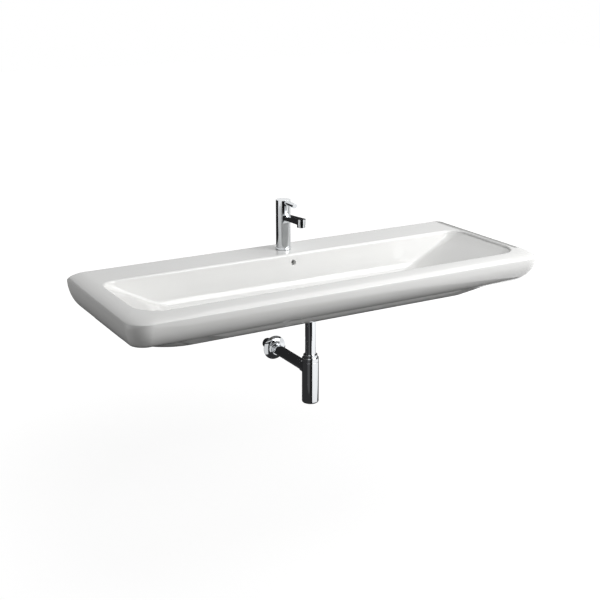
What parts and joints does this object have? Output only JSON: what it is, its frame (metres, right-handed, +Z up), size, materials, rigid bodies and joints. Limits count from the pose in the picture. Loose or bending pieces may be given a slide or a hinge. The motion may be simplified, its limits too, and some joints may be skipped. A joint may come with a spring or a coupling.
{
  "type": "washbasin",
  "caption": "Long rectangular wall-hung ceramic washbasin with deck, single-lever mixer tap, click waste and chrome bottle trap.",
  "frame": {"origin": "midway between the two inner wall bolts, in the wall plane", "axes": "+X along the basin to the right as seen by the user, +Y into the wall, +Z up"},
  "size_m": [1.3, 0.54, 0.5855],
  "materials": {
    "vitreous_china": "white glaze",
    "chrome": "polished chrome plate on brass",
    "chrome_plastic": "chromed plastic",
    "brass": "turned brass",
    "zinc_steel": "zinc plated",
    "black_rubber": "matt",
    "white_nylon": "moulded",
    "grey_plastic": "moulded"
  },
  "bodies": {
    "root": {"basin_body": "vitreous_china", "hanger_bolts": "zinc_steel", "fixing_collars": "white_nylon", "fixing_washers": "zinc_steel", "fixing_nuts": "zinc_steel", "base_gasket": "black_rubber", "base_ring": "chrome", "tap_body": "chrome", "cartridge": "grey_plastic", "cartridge_nut": "brass", "cartridge_cap": "chrome", "aerator_housing": "chrome", "aerator_insert": "grey_plastic", "aerator_seal": "black_rubber", "fixing_stud": "zinc_steel", "horseshoe_gasket": "black_rubber", "horseshoe_plate": "zinc_steel", "tap_fixing_nut": "brass", "flange_gasket": "black_rubber", "waste_body": "chrome", "click_cartridge": "brass", "boss_gasket": "black_rubber", "waste_backnut": "brass", "union_seal": "black_rubber", "waste_union_nut": "chrome", "down_pipe": "chrome", "trap_slip_nut": "chrome", "slip_seal": "black_rubber", "trap_body": "chrome", "trap_cup": "chrome", "cup_seal": "black_rubber", "wall_tube": "chrome", "outlet_seal": "black_rubber", "rosette": "chrome"},
    "swivel": {"cartridge_carrier": "grey_plastic", "stem_pin": "zinc_steel"},
    "lever": {"cartridge_stem": "brass", "lever_head": "chrome", "lever_pin": "chrome", "grub_screw": "zinc_steel", "handle_plug": "chrome_plastic"},
    "plug": {"waste_plug": "chrome", "plug_stem": "brass", "plug_seal": "black_rubber"}
  },
  "joints": [
    {"name": "mixer_swivel", "type": "hinge", "parent": "root", "child": "swivel", "pos_m": [0, -0.06, 0.155], "axis": [0, 0, 1], "range_deg": [-45, 45]},
    {"name": "mixer_lift", "type": "hinge", "parent": "swivel", "child": "lever", "pos_m": [0, -0.06, 0.155], "axis": [-1, 0, 0], "range_deg": [0, 20]},
    {"name": "plug_slide", "type": "slide", "parent": "root", "child": "plug", "axis": [0, 0, 1], "range_m": [-0.006, 0]}
  ]
}
